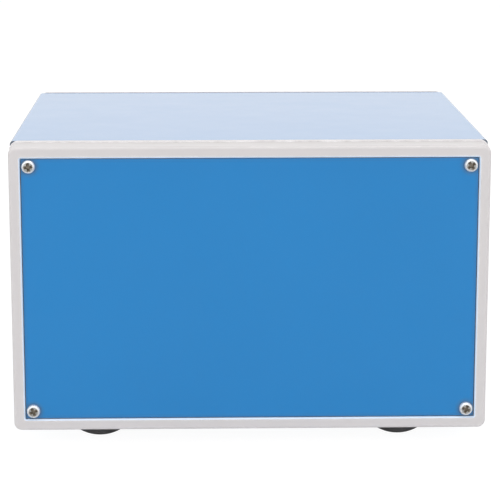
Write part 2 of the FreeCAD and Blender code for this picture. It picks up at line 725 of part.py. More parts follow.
def fasteners():
    panel_screw = pan_screw("PanelScrew", "panel_screw_length")
    short_screw = pan_screw("ShortScrew", "short_screw_length")
    frame_screw = pan_screw("FrameScrew", "frame_screw_length")
    foot_screw = pan_screw("FootScrew", "foot_screw_length")
    down = Rotation(X, 180)
    for label, frame in (("front_panel_screws", FRONT_PANEL), ("rear_panel_screws", REAR_PANEL)):
        node(label, copies(panel_screw, [(x, y, "0") for x, y in PANEL_SCREWS]), frame)
    node("cover_screws", copies(short_screw, side_spots(COVER_HALF)))
    clinch = cut(rod("0", "0", "0", "clinch_radius", "nut_height"),
                 rod("0", "0", "0", "thread_hole", "nut_height"))
    node("cover_clinch_nuts", copies(clinch, side_spots(f"({TRAY_HALF} - sheet - nut_height)")))
    node("frame_screws", copies(frame_screw, [(x, y, UNDERSIDE, down) for x, y in LUG_SPOTS]))
    head_seat = "foot_recess_depth - foot_height"
    node("foot_screws", copies(foot_screw, [(x, y, head_seat, down) for x, y in FOOT_SPOTS]))
    small_nut = nut("0", "0", "0", "nut_flats", "nut_height", "thread_hole")
    tray_nuts = [(x, y, FLOOR) for x, y in FOOT_SPOTS] + [(*GROUND_SPOT, f"{FLOOR} + tag_thickness")]
    node("tray_nuts", copies(small_nut, tray_nuts))
    xlr_nuts = [(x, y, f"{PANEL_BACK} - nut_height") for x, y, _ in XLR_SCREW_SPOTS]
    node("xlr_nuts", copies(small_nut, xlr_nuts), REAR_PANEL)
    xlr_screw = pan_screw("XlrScrew", "xlr_screw_length")
    node("xlr_screws", copies(xlr_screw, XLR_SCREW_SPOTS), REAR_PANEL)
    board_screws = [(x, y, UNDERSIDE, down) for x, y in BOARD_SPOTS]
    board_screws += [(x, y, BOARD_TOP) for x, y in BOARD_SPOTS]
    node("board_screws", copies(short_screw, board_screws))
    node("ground_screw", copies(short_screw, [(*GROUND_SPOT, UNDERSIDE, down)]))


def foot():
    """A domed rubber foot about Z, its top at the tray's underside."""
    height = f"(foot_height + {UNDERSIDE})"
    ball_up = "sqrt(foot_dome ^ 2 - foot_patch ^ 2)"
    skirt = rod("0", "0", "-foot_height", "foot_radius", height)
    dome = primitive("Sphere", ("0", "0", f"{ball_up} - foot_height"), Radius="foot_dome")
    hole = rod("0", "0", "-foot_height", "clear_hole", height)
    recess = rod("0", "0", "-foot_height", "foot_recess", "foot_recess_depth")
    return cut(common(skirt, dome), hole, recess)


def feet():
    names = ("foot_front_left", "foot_front_right", "foot_rear_left", "foot_rear_right")
    master = foot()
    for label, (x, y) in zip(names, FOOT_SPOTS):
        node(label, copies(master, [(x, y, "0")]))


# ---------------------------------------------------------------- jacks
def jack_bushing():
    return revolve(
        "JackBushing",
        (
            ("jack_bore", "bushing_proud"),
            ("bushing_radius", "bushing_proud"),
            ("bushing_radius", PANEL_BACK),
            ("shoulder_radius", PANEL_BACK),
            ("shoulder_radius", f"{PANEL_BACK} - shoulder_thickness"),
            ("jack_bore", f"{PANEL_BACK} - shoulder_thickness"),
        ),
    )


def jack_body():
    """The insulating body: seat for the bushing, space for the plug, and slots for two contacts."""
    back = f"({PANEL_BACK} - jack_depth)"
    block = slab("0", "0", back, "jack_width", "jack_height", "jack_depth", "jack_corner")
    inside = "(jack_depth - jack_end_wall)"
    cavity = rod("0", "0", f"{back} + jack_end_wall", "jack_cavity", inside)
    seat = rod("0", "0", f"{PANEL_BACK} - shoulder_thickness - seat_fit",
               "shoulder_radius + seat_fit", "shoulder_thickness + seat_fit")
    reach = f"({CONTACT_SIDE} + contact_thickness + contact_clearance)"
    room = box("0", "0", f"{back} + jack_end_wall", f"2 * {reach}",
               "contact_width + 2 * seat_fit", f"{inside} - shoulder_thickness - slip_gap")
    slots = [
        box(f"{side} * ({CONTACT_SIDE} + contact_thickness / 2)", "0", back,
            "contact_thickness + 2 * seat_fit", "contact_width + 2 * seat_fit", "jack_end_wall")
        for side in (-1, 1)
    ]
    return cut(block, cavity, seat, room, *slots)


def jack_contacts():
    """Tip and sleeve strips, from beside the plug to the soldering lugs behind the body."""
    back = f"({PANEL_BACK} - jack_depth - contact_lug)"
    return together([
        box(f"{side} * ({CONTACT_SIDE} + contact_thickness / 2)", "0", back,
            "contact_thickness", "contact_width", "contact_lug + contact_length")
        for side in (-1, 1)
    ])


def jacks():
    housing = jack_body()
    for (label, x) in JACKS:
        node(label, copies(housing, [(x, "socket_row", "0")]), REAR_PANEL)
    node("jack_bushings", copies(jack_bushing(), JACK_SPOTS), REAR_PANEL)
    node("jack_contacts", copies(jack_contacts(), JACK_SPOTS), REAR_PANEL)
    washer = cut(rod("0", "0", "0", "jack_washer_radius", "washer_thickness"),
                 rod("0", "0", "0", "bushing_radius + seat_fit", "washer_thickness"))
    node("jack_washers", copies(washer, JACK_SPOTS), REAR_PANEL)
    ring = nut("0", "0", "washer_thickness", "jack_nut_flats", "jack_nut_height",
               "bushing_radius + seat_fit")
    node("jack_nuts", copies(ring, JACK_SPOTS), REAR_PANEL)


# ---------------------------------------------------------------- XLR outputs
def xlr_shell():
    """The metal receptacle: flange, raised rim, barrel through the panel, latch notch."""
    front = "(xlr_flange_thickness + xlr_rim_proud)"
    flange = slab("0", "0", "0", f"2 * {XLR_HALF_WIDTH}", f"2 * {XLR_HALF_HEIGHT}", "xlr_flange_thickness",
                  "xlr_flange_corner")
    rim = rod("0", "0", "0", "xlr_rim_radius", front)
    barrel = rod("0", "0", "-xlr_barrel_length", "xlr_barrel_radius", "xlr_barrel_length")
    bore = rod("0", "0", "-xlr_barrel_length", "xlr_bore", f"xlr_barrel_length + {front}")
    notch = box("0", "xlr_bore", "-xlr_barrel_length / 3", "latch_width", "2 * latch_depth",
                f"xlr_barrel_length / 3 + {front}")
    holes = [
        rod(f"{side} * {XLR_SCREW_ACROSS}", f"{-side} * {XLR_SCREW_UP}", "0",
            "clear_hole", "xlr_flange_thickness")
        for side in (-1, 1)
    ]
    return cut(fuse(flange, rim, barrel), bore, notch, *holes)


def xlr_insert():
    disc = rod("0", "0", "-xlr_barrel_length", "xlr_bore - seat_fit", "xlr_insert_thickness")
    holes = [rod(x, y, "-xlr_barrel_length", "pin_radius + seat_fit", "xlr_insert_thickness")
             for x, y in PINS]
    return cut(disc, *holes)


def xlr_pin():
    """A pin about Z: domed at the front, flat at its soldered end."""
    length = "(xlr_barrel_length + pin_tail - pin_tip - pin_radius)"
    shaft = rod("0", "0", "-xlr_barrel_length - pin_tail", "pin_radius", length)
    dome = primitive("Sphere", ("0", "0", "-pin_tip - pin_radius"), Radius="pin_radius")
    return fuse(shaft, dome)


def xlrs():
    shell, insert = xlr_shell(), xlr_insert()
    for (number, _), spot in zip(CHANNELS, XLR_SPOTS):
        node(f"xlr_shell_{number}", copies(shell, [spot]), REAR_PANEL)
        node(f"xlr_insert_{number}", copies(insert, [spot]), REAR_PANEL)
    spots = [(f"{x} + {dx}", f"{y} + {dy}", "0") for x, y, _ in XLR_SPOTS for dx, dy in PINS]
    node("xlr_pins", copies(xlr_pin(), spots), REAR_PANEL)


# ---------------------------------------------------------------- toggle switches
def switch_lever():
    """The bat lever about Z, its pivot at z = 0: ball, tapered bat with a round tip, and tail."""
    reach = "(lever_length - lever_tip)"
    bat = primitive("Cone", ("0", "0", "0"), Radius1="lever_root", Radius2="lever_tip", Height=reach)
    tip = primitive("Sphere", ("0", "0", reach), Radius="lever_tip")
    ball = primitive("Sphere", ("0", "0", "0"), Radius="ball_radius")
    tail = rod("0", "0", "-lever_tail", "tail_radius", "lever_tail")
    return fuse(bat, tip, ball, tail)


def switches():
    block = slab("0", "0", f"{SWITCH_FACE} - switch_depth", "switch_width", "switch_height",
                 "switch_depth", "switch_corner")
    lever = switch_lever()
    for kind, number, x in SWITCHES:
        node(f"{kind}_switch_{number}", copies(block, [(x, "switch_row", "0")]), REAR_PANEL)
        spot = (x, "switch_row", "pivot_proud", Rotation(X, value("throw_angle")))
        node(f"{kind}_lever_{number}", copies(lever, [spot]), REAR_PANEL)
    tube = cut(rod("0", "0", SWITCH_FACE, "switch_bushing", f"switch_bushing_proud - {SWITCH_FACE}"),
               rod("0", "0", SWITCH_FACE, "switch_bore", f"switch_bushing_proud - {SWITCH_FACE}"))
    node("switch_bushings", copies(tube, SWITCH_SPOTS), REAR_PANEL)
    ring = nut("0", "0", "0", "switch_nut_flats", "switch_nut_height", "switch_bushing + seat_fit")
    node("switch_nuts", copies(ring, SWITCH_SPOTS), REAR_PANEL)
    washer = cut(rod("0", "0", SWITCH_FACE, "switch_washer_radius", "switch_washer_thickness"),
                 rod("0", "0", SWITCH_FACE, "switch_bushing + seat_fit", "switch_washer_thickness"))
    node("switch_washers", copies(washer, SWITCH_SPOTS), REAR_PANEL)
    back = f"({SWITCH_FACE} - switch_depth - terminal_length)"
    terminals = together([
        box("0", f"{n} * terminal_pitch", back, "terminal_width", "terminal_thickness", "terminal_length")
        for n in (-1, 0, 1)
    ])
    node("switch_terminals", copies(terminals, SWITCH_SPOTS), REAR_PANEL)


# ---------------------------------------------------------------- board and what stands on it
def circuit_board():
    plate = body("circuit_board")
    pad(plate, rectangle(sketch(plate, BOARD_TOP), "0", BOARD_MIDDLE, "board_width", "board_depth"),
        "board_thickness")
    pocket(plate, circles(sketch(plate, BOARD_TOP), "clear_hole", BOARD_SPOTS), "board_thickness")
    node("circuit_board", plate)
    pillar = cut(hexagon("0", "0", "0", "nut_flats", "standoff_height"),
                 rod("0", "0", "0", "thread_hole", "standoff_height"))
    node("board_standoffs", copies(pillar, [(x, y, FLOOR) for x, y in BOARD_SPOTS]))


CAN_INSIDE = "(can_width - 2 * can_wall - 2 * core_gap)"


def transformer_can():
    can = slab("0", "0", "0", "can_width", "can_depth", "can_height", "can_corner")
    blend(can, "Fillet", "can_wall", at_height("can_height"))
    room = slab("0", "0", "0", "can_width - 2 * can_wall", "can_depth - 2 * can_wall",
                "can_height - can_wall", "can_corner - can_wall")
    return cut(can, room)


def transformer_core():
    """A stack of laminations with three limbs."""
    stack = box("0", "0", "core_base", CAN_INSIDE, "core_thickness", "core_height")
    window = f"(({CAN_INSIDE} - core_middle_limb) / 2 - core_limb)"
    windows = [
        box(f"{side} * (core_middle_limb + {window}) / 2", "0", "core_base + core_limb",
            window, "core_thickness", "core_height - 2 * core_limb")
        for side in (-1, 1)
    ]
    return cut(stack, *windows)


def transformer_bobbin():
    """The former with its windings: a ring on the middle limb, over a foot on the board."""
    limb = "(core_middle_limb + 2 * winding_gap)"
    ring_width = f"({CAN_INSIDE} - 2 * core_limb - 2 * winding_gap)"
    low, height = "core_base + core_limb + winding_gap", "(core_height - 2 * core_limb - 2 * winding_gap)"
    ring = cut(
        box("0", "0", low, ring_width, "winding_depth", height),
        box("0", "0", low, limb, "core_thickness + 2 * winding_gap", height),
    )
    base = box("0", "0", "0", CAN_INSIDE, "winding_depth", "core_base")
    posts = [
        box("0", f"{end} * (winding_depth + core_thickness + 2 * winding_gap) / 4", "0", limb,
            "(winding_depth - core_thickness - 2 * winding_gap) / 2", low)
        for end in (-1, 1)
    ]
    return fuse(ring, base, *posts)


def transformers():
    spots = [(centre, f"{BOARD_MIDDLE} - can_setback", BOARD_TOP) for _, centre in reversed(CHANNELS)]
    can = transformer_can()
    for (number, _), spot in zip(CHANNELS, spots):
        node(f"transformer_can_{number}", copies(can, [spot]))
    node("transformer_cores", copies(transformer_core(), spots))
    node("transformer_bobbins", copies(transformer_bobbin(), spots))


def resistor():
    """An axial resistor lying along Y on z = 0, with its leads bent down to the board."""
    level, reach = "resistor_radius", "(resistor_length / 2 + lead_overhang)"
    low, straight = f"({level} - lead_bend)", f"({reach} - lead_bend)"
    barrel = rod("0", "resistor_length / 2", level, "resistor_radius", "resistor_length", FORWARDS)
    lead = rod("0", straight, level, "lead_radius", f"2 * {straight}", FORWARDS)
    bends = [
        bend("0", f"-{straight}", low, OVER_AND_DOWN, "lead_bend", "lead_radius"),
        bend("0", straight, low, UP_AND_OVER, "lead_bend", "lead_radius"),
    ]
    legs = [rod("0", f"{end} * {reach}", "0", "lead_radius", low) for end in (-1, 1)]
    return fuse(barrel, lead, *bends, *legs)


def small_parts():
    row = [
        (f"{centre} + {n} * resistor_pitch", PARTS_ROW, BOARD_TOP)
        for _, centre in CHANNELS
        for n in (-1, 0, 1)
    ]
    node("pad_resistors", copies(resistor(), row))
    film = slab("0", "0", "0", "capacitor_width", "capacitor_length", "capacitor_height",
                "capacitor_corner")
    beside = [
        (f"{centre} + {side} * capacitor_offset", PARTS_ROW, BOARD_TOP)
        for _, centre in CHANNELS
        for side in (-1, 1)
    ]
    node("film_capacitors", copies(film, beside))


# ---------------------------------------------------------------- wires, their plugs, chassis ground
REAR = "(case_depth / 2 - panel_recess)"
JACK_LUG_END = f"({REAR} - panel_thickness - jack_depth - contact_lug)"
PIN_END = f"({REAR} - xlr_barrel_length - pin_tail)"
TERMINAL_END = f"({REAR} + {SWITCH_FACE} - switch_depth - terminal_length)"
LUG_SIDE = f"({CONTACT_SIDE} + contact_thickness / 2)"
PLUG_TOP = f"({BOARD_TOP} + plug_height)"


def wire(x, y, z, row):
    """From a lug at y straight forwards, then down at row onto its plug."""
    run = rod(x, y, z, "wire_radius", f"{y} - ({row}) - wire_bend", FORWARDS)
    corner = bend(x, f"{row} + wire_bend", f"{z} - wire_bend", OVER_AND_DOWN)
    drop = rod(x, row, PLUG_TOP, "wire_radius", f"{z} - wire_bend - {PLUG_TOP}")
    return fuse(run, corner, drop)


def plug(x, y, across, deep):
    return box(x, y, BOARD_TOP, f"{across} + 2 * plug_margin", f"{deep} + 2 * plug_margin", "plug_height")


def channel_wires(centre):
    """The channel's wires, and the plugs that they run to, in the case's own directions."""
    wires, plugs = [], []
    for offset in ("input_offset", "link_offset"):
        x = f"({offset} - {centre})"
        plugs.append(plug(x, SOCKET_PLUGS, f"2 * {LUG_SIDE}", "0"))
        for side in (-1, 1):
            wires.append(wire(f"{x} + {side} * {LUG_SIDE}", JACK_LUG_END, "socket_row", SOCKET_PLUGS))
    x = f"(-output_offset - {centre})"
    plugs.append(plug(x, SOCKET_PLUGS, "2 * pin_side", "0"))
    for dx, dy in PINS:
        wires.append(wire(f"{x} + {dx}", PIN_END, f"(socket_row + {dy})", SOCKET_PLUGS))
    for x in (f"(pad_offset - {centre})", f"(-output_offset - {centre})"):
        plugs.append(plug(x, f"{SWITCH_PLUGS} - terminal_pitch", "0", "2 * terminal_pitch"))
        for n in (-1, 0, 1):
            height = f"(switch_row + {n} * terminal_pitch)"
            row = f"{SWITCH_PLUGS} - {n + 1} * terminal_pitch"
            wires.append(wire(x, TERMINAL_END, height, row))
    return wires, plugs


def wiring():
    plugs = [plug("ground_side", SOCKET_PLUGS, "0", "0")]
    for number, centre in CHANNELS:
        wires, ends = channel_wires(centre)
        node(f"channel_{number}_wires", together(wires))
        plugs += ends
    node("wire_plugs", together(plugs))


def chassis_ground():
    """A ring tag under the ground nut, and its wire over to a plug on the board."""
    x, y = GROUND_SPOT
    ring = rod(x, y, FLOOR, "tag_radius", "tag_thickness")
    tail = box(x, f"{y} - tag_length / 2", FLOOR, "tag_width", "tag_length", "tag_thickness")
    hole = rod(x, y, FLOOR, "clear_hole", "tag_thickness")
    node("ground_tag", copies(cut(fuse(ring, tail), hole), [("0", "0", "0")]))
    start, tag_top = f"({y} - tag_length + tag_width / 2)", f"({FLOOR} + tag_thickness)"
    level = f"({PLUG_TOP} + wire_bend)"
    near_bend, far_bend = f"({start} - wire_bend)", f"({SOCKET_PLUGS} + wire_bend)"
    pieces = (
        rod(x, start, tag_top, "wire_radius", f"{level} - {tag_top}"),
        bend(x, near_bend, level, UP_AND_OVER),
        rod(x, near_bend, f"{level} + wire_bend", "wire_radius", f"{near_bend} - {far_bend}", FORWARDS),
        bend(x, far_bend, level, OVER_AND_DOWN),
        rod(x, SOCKET_PLUGS, PLUG_TOP, "wire_radius", f"{level} - {PLUG_TOP}"),
    )
    node("ground_wire", copies(fuse(*pieces), [("0", "0", "0")]))


# ---------------------------------------------------------------- the whole object
def check_document():
    """Stops at any object that failed, and at any shape that is missing or not valid."""
    doc.recompute()
    failed = [o.Name for o in doc.Objects if {"Invalid", "Error"} & set(o.State)]
    failed += [o.Label for o in nodes if o.Shape.isNull() or not o.Shape.isValid() or not o.Shape.Solids]
    if failed:
        raise RuntimeError(f"failed: {failed}")


def write_nodes():
    os.makedirs("parts", exist_ok=True)
    for obj in nodes:
        obj.Shape.exportStep(f"parts/{obj.Label}.step")


tray()
cover()
moulded_frame("front_frame", "front_frame_depth", FRONT_FACE)
moulded_frame("rear_frame", "rear_frame_depth", REAR_FACE)
node("front_panel", blank_panel("front_panel"), FRONT_PANEL)
rear_panel()
fasteners()
feet()
jacks()
xlrs()
switches()
circuit_board()
transformers()
small_parts()
wiring()
chassis_ground()
check_document()
write_nodes()
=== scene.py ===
# A two-channel direct injection box in a bench instrument case: glossy blue steel tray, cover and
# panels between two pale moulded end frames. Jacks, XLR outputs and toggle switches are on the rear.
# The room's sizes are metres and the object's are millimetres, which MM turns into the metres of the
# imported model's frame. The sections follow the object as it is put together.
import math

import bmesh
import bpy
from mathutils import Matrix, Vector


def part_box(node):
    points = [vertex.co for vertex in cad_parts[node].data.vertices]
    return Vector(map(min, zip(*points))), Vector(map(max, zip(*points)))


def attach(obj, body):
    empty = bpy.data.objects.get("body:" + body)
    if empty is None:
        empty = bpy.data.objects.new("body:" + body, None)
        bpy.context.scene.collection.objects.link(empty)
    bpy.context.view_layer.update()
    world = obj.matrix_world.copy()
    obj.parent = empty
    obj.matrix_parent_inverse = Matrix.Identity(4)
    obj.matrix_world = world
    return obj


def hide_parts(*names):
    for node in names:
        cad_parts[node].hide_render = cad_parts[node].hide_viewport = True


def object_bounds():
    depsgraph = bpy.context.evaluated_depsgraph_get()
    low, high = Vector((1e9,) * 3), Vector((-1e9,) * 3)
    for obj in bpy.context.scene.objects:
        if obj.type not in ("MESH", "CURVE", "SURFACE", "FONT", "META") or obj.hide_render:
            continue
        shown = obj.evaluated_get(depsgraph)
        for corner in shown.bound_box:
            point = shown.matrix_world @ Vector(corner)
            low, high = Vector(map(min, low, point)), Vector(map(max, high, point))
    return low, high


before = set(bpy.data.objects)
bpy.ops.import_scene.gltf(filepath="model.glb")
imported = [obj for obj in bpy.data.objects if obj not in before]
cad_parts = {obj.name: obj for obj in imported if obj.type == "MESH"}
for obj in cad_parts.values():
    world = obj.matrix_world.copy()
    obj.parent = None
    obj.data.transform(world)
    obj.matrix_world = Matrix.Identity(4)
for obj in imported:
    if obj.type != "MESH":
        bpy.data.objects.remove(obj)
cad_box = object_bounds()
scene = bpy.context.scene

# ---------------------------------------------------------------- the room
# A pale floor in a white room, under soft lamps. Floor and room show white to the camera, and the
# floor keeps a trace of the object's shadow. Gloss shows the room white, the floor dimmer, and of the
# lamps only the strip overhead, so that the cover's top mirrors no side lamp.
MM = 0.001
ROOM_LIGHT, ROOM_SEEN = 0.45, 1.0
FLOOR_RADIUS, FLOOR_SIDES = 6.0, 96
PAPER_SHADE, PAPER_ROUGHNESS, PAPER_SPECULAR = 0.92, 0.9, 0.1
GLOW_SEEN, GLOW_IN_GLOSS = 1.12, 0.26
GLOW_SHARE_SEEN, GLOW_SHARE_IN_GLOSS = 0.85, 0.9
scene.view_settings.view_transform = "Standard"


def ray_sum(tree, camera, gloss):
    """A socket worth camera for rays from the camera, gloss for rays off gloss, and 0 for the rest."""
    path = tree.nodes.new("ShaderNodeLightPath")
    total = None
    for kind, amount in (("Is Camera Ray", camera), ("Is Glossy Ray", gloss)):
        part = tree.nodes.new("ShaderNodeMath")
        part.operation = "MULTIPLY_ADD"
        tree.links.new(path.outputs[kind], part.inputs[0])
        part.inputs[1].default_value = amount
        part.inputs[2].default_value = 0
        if total:
            tree.links.new(total, part.inputs[2])
        total = part.outputs[0]
    return total


room = bpy.data.worlds.new("room")
scene.world = room
room.use_nodes = True
tree = room.node_tree
sky = tree.nodes["Background"]
sky.inputs["Color"].default_value = (1, 1, 1, 1)
level = tree.nodes.new("ShaderNodeMapRange")
level.inputs["To Min"].default_value = ROOM_LIGHT
level.inputs["To Max"].default_value = ROOM_SEEN
tree.links.new(ray_sum(tree, 1.0, 1.0), level.inputs["Value"])
tree.links.new(level.outputs["Result"], sky.inputs["Strength"])

bpy.ops.mesh.primitive_circle_add(vertices=FLOOR_SIDES, radius=FLOOR_RADIUS, fill_type="NGON")
floor = bpy.context.object
floor.name = "floor"
paper = bpy.data.materials.new("paper")
paper.use_nodes = True
tree = paper.node_tree
matt = tree.nodes["Principled BSDF"]
matt.inputs["Base Color"].default_value = (PAPER_SHADE, PAPER_SHADE, PAPER_SHADE, 1)
matt.inputs["Roughness"].default_value = PAPER_ROUGHNESS
matt.inputs["Specular IOR Level"].default_value = PAPER_SPECULAR
glow = tree.nodes.new("ShaderNodeEmission")
tree.links.new(ray_sum(tree, GLOW_SEEN, GLOW_IN_GLOSS), glow.inputs["Strength"])
mixed = tree.nodes.new("ShaderNodeMixShader")
tree.links.new(ray_sum(tree, GLOW_SHARE_SEEN, GLOW_SHARE_IN_GLOSS), mixed.inputs["Fac"])
tree.links.new(matt.outputs[0], mixed.inputs[1])
tree.links.new(glow.outputs[0], mixed.inputs[2])
tree.links.new(mixed.outputs[0], tree.nodes["Material Output"].inputs["Surface"])
floor.data.materials.append(paper)

LAMPS_AIM = Vector((0, 0, 0.06))
STRIP_PLACE, STRIP_WIDTH, STRIP_DEPTH, STRIP_WATTS = (0.0, -0.15, 1.3), 1.6, 0.28, 7.4
SIDE_ACROSS, SIDE_AWAY, SIDE_UP, SIDE_WIDTH, SIDE_HEIGHT = 1.1, 1.35, 0.6, 2.0, 1.1
FRONT_WATTS, REAR_WATTS = 11.0, 9.6


def softbox(name, place, width, height, watts, mirrored=False):
    """A flat lamp aimed at the middle of the object, seen in its gloss only where mirrored is true."""
    lamp = bpy.data.lights.new(name, "AREA")
    lamp.shape = "RECTANGLE"
    lamp.size, lamp.size_y = width, height
    lamp.energy = watts
    stand = bpy.data.objects.new(name, lamp)
    stand.location = place
    stand.visible_glossy = mirrored
    stand.rotation_euler = (LAMPS_AIM - Vector(place)).to_track_quat("-Z", "Y").to_euler()
    scene.collection.objects.link(stand)


softbox("overhead_strip", STRIP_PLACE, STRIP_WIDTH, STRIP_DEPTH, STRIP_WATTS, mirrored=True)
for end, depth, watts in (("front", -SIDE_AWAY, FRONT_WATTS), ("rear", SIDE_AWAY, REAR_WATTS)):
    for hand, across in (("left", -SIDE_ACROSS), ("right", SIDE_ACROSS)):
        softbox(f"{end}_{hand}", (across, depth, SIDE_UP), SIDE_WIDTH, SIDE_HEIGHT, watts)

# The camera stands in front of the blank panel, a little left and above, with a long lens.
FOCAL_LENGTH, SENSOR_WIDTH = 144.7, 36
CAMERA_ACROSS, CAMERA_AWAY, CAMERA_UP = -19.7, 820.8, 255.0
CAMERA_YAW, CAMERA_PITCH = 1.367, 11.622
lens = bpy.data.cameras.new("camera")
lens.lens = FOCAL_LENGTH
lens.sensor_width = SENSOR_WIDTH
camera = bpy.data.objects.new("camera", lens)
scene.collection.objects.link(camera)
scene.camera = camera
front_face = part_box("front_frame")[0].y
camera.location = (CAMERA_ACROSS * MM, front_face - CAMERA_AWAY * MM, CAMERA_UP * MM)
yaw, pitch = math.radians(CAMERA_YAW), math.radians(CAMERA_PITCH)
look = Vector((math.sin(yaw) * math.cos(pitch), math.cos(yaw) * math.cos(pitch), -math.sin(pitch)))
camera.rotation_euler = look.to_track_quat("-Z", "Y").to_euler()


# ---------------------------------------------------------------- tray
# The lower half of the case: 1 mm steel folded into a shallow U, drilled, and stove enamelled blue.
# The enamel dries to a faint orange peel, and its colour is painted greyer and darker in corners against
# a frame or a part, as painted shade. The sheet is cut after it's painted, so its ends are bare.

# How finish paints: where nearly all of a noise texture's values lie, the share by which roughness
# drifts, and the size in mm of the scuff marks and painted glints along edges. A range runs from where
# a colour starts to where it is full: the cosine between the true and the rounded surface at an edge,
# the length of the normal along Y on a cut, how far in mm a face turned in for a painted reflection or
# turned back for a painted shadow line faces the middle, and how open a corner within reach mm is,
# where painted shade goes.
NOISE_RANGE, ROUGHNESS_DRIFT = (0.3, 0.7), 0.05
EDGE_RANGE, SCUFF_AND_GLINT_SIZE, SCUFF_AND_GLINT_STRENGTH = (0.995, 0.8), 4.0, (0.2, 0.9)
CUT_RANGE, BEVEL_REFLECTION_RANGE, LAP_SHADE_RANGE = (0.8, 0.9), (-10.0, -20.0), (-30.0, -50.0)
CORNER_SHADE_REACH, CORNER_SHADE_RANGE, CORNER_SHADE_STRENGTH = 2.2, (0.98, 0.6), 0.8


